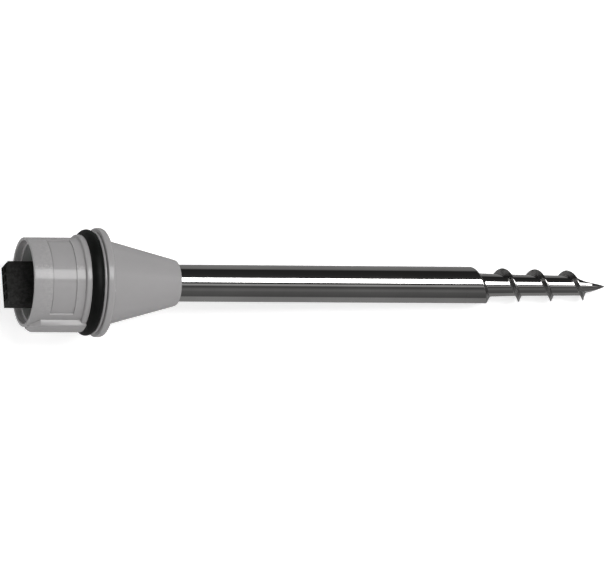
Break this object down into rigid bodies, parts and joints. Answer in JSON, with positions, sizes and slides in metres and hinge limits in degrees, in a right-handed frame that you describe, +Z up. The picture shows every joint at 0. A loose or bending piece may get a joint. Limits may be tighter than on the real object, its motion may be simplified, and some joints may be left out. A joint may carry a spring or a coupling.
{
  "type": "soil moisture sensor",
  "caption": "Soil moisture probe: a plug-in plastic head with a sealed cup and socket connector, on a stainless tube that ends in a screw-in auger tip.",
  "frame": {"origin": "on the probe's axis, in the plane of the flange's head-side shoulder, where the mating head stops", "axes": "+X along the probe's axis from the head to the auger's point; -Y towards the cup's keying rib; +Z up as it lies, square to the rib"},
  "size_m": [0.2051, 0.035, 0.035],
  "materials": {
    "grey_plastic": "light grey moulded plastic, satin",
    "black_plastic": "black moulded nylon, satin",
    "black_rubber": "black nitrile rubber",
    "stainless": "polished stainless steel",
    "brass": "turned brass",
    "gold_plate": "gold-plated bronze",
    "circuit_board": "green solder mask on glass-epoxy board",
    "chip_epoxy": "moulded black epoxy",
    "ceramic": "sintered ceramic",
    "potting": "heat-conducting potting resin",
    "red_lead": "red insulation",
    "black_lead": "black insulation",
    "white_lead": "white insulation",
    "green_lead": "green insulation"
  },
  "bodies": {
    "root": {"cup_shell": "grey_plastic", "cone_shell": "grey_plastic", "main_o_ring": "black_rubber", "connector_housing": "black_plastic", "contact_1": "gold_plate", "contact_2": "gold_plate", "contact_3": "gold_plate", "contact_4": "gold_plate", "contact_5": "gold_plate", "contact_6": "gold_plate", "contact_7": "gold_plate", "contact_8": "gold_plate", "connector_board": "circuit_board", "board_snap_ring": "grey_plastic", "lead_grommet": "black_rubber", "lead_red": "red_lead", "lead_black": "black_lead", "lead_white": "white_lead", "lead_green": "green_lead", "probe_tube": "stainless", "auger_tip": "stainless", "hex_drive_collar": "brass", "upper_tube_seal": "black_rubber", "lower_tube_seal": "black_rubber", "sensor_board": "circuit_board", "microcontroller": "chip_epoxy", "measuring_chip": "chip_epoxy", "soil_thermistor": "ceramic", "heater_thermistor": "ceramic", "heater_element": "ceramic", "heat_potting": "potting"}
  },
  "joints": []
}
